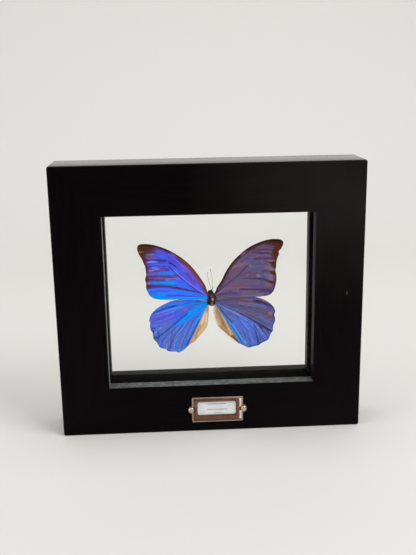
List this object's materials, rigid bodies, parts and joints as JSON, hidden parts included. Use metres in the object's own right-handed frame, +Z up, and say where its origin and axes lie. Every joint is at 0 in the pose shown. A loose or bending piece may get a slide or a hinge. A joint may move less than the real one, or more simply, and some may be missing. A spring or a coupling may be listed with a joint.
{
  "type": "framed butterfly specimen",
  "caption": "Blue butterfly specimen with spread wings between two panes of glass in a deep black wooden frame that stands by itself, with a metal label holder.",
  "frame": {"origin": "middle of the underside of the lower rail, where the frame stands", "axes": "+Z up, the front with the label holder faces -Y, +X to the right seen from the front"},
  "size_m": [0.25, 0.0436, 0.2255],
  "materials": {
    "black_wood": "satin black lacquer over fine straight grain, edges slightly eased",
    "black_card": "matt black",
    "clear_glass": "clear, polished",
    "holder_metal": "stamped nickel plate, warm grey, bright on its edges",
    "nail_metal": "bright nickel domed heads",
    "label_paper": "plain white card with ruled lines",
    "body_fur": "dark brown hair with grey flecks",
    "antenna": "thin dark brown horn",
    "forewing_scales": "violet blue scales with azure streaks and a dark brown border, silky sheen",
    "hindwing_scales": "blue violet scales with azure streaks, tan inner fold, silky sheen",
    "clear_glue": "clear, glossy"
  },
  "bodies": {
    "root": {"rail_top": "black_wood", "rail_bottom": "black_wood", "rail_left": "black_wood", "rail_right": "black_wood", "spacer_top": "black_card", "spacer_bottom": "black_card", "spacer_left": "black_card", "spacer_right": "black_card", "glass_front": "clear_glass", "glass_back": "clear_glass", "label_holder": "holder_metal", "nail_left": "nail_metal", "nail_right": "nail_metal", "label_card": "label_paper", "thorax_and_head": "body_fur", "antenna_left": "antenna", "antenna_right": "antenna", "forewing_left": "forewing_scales", "forewing_right": "forewing_scales", "hindwing_left": "hindwing_scales", "hindwing_right": "hindwing_scales", "glue_dab": "clear_glue"}
  },
  "joints": []
}
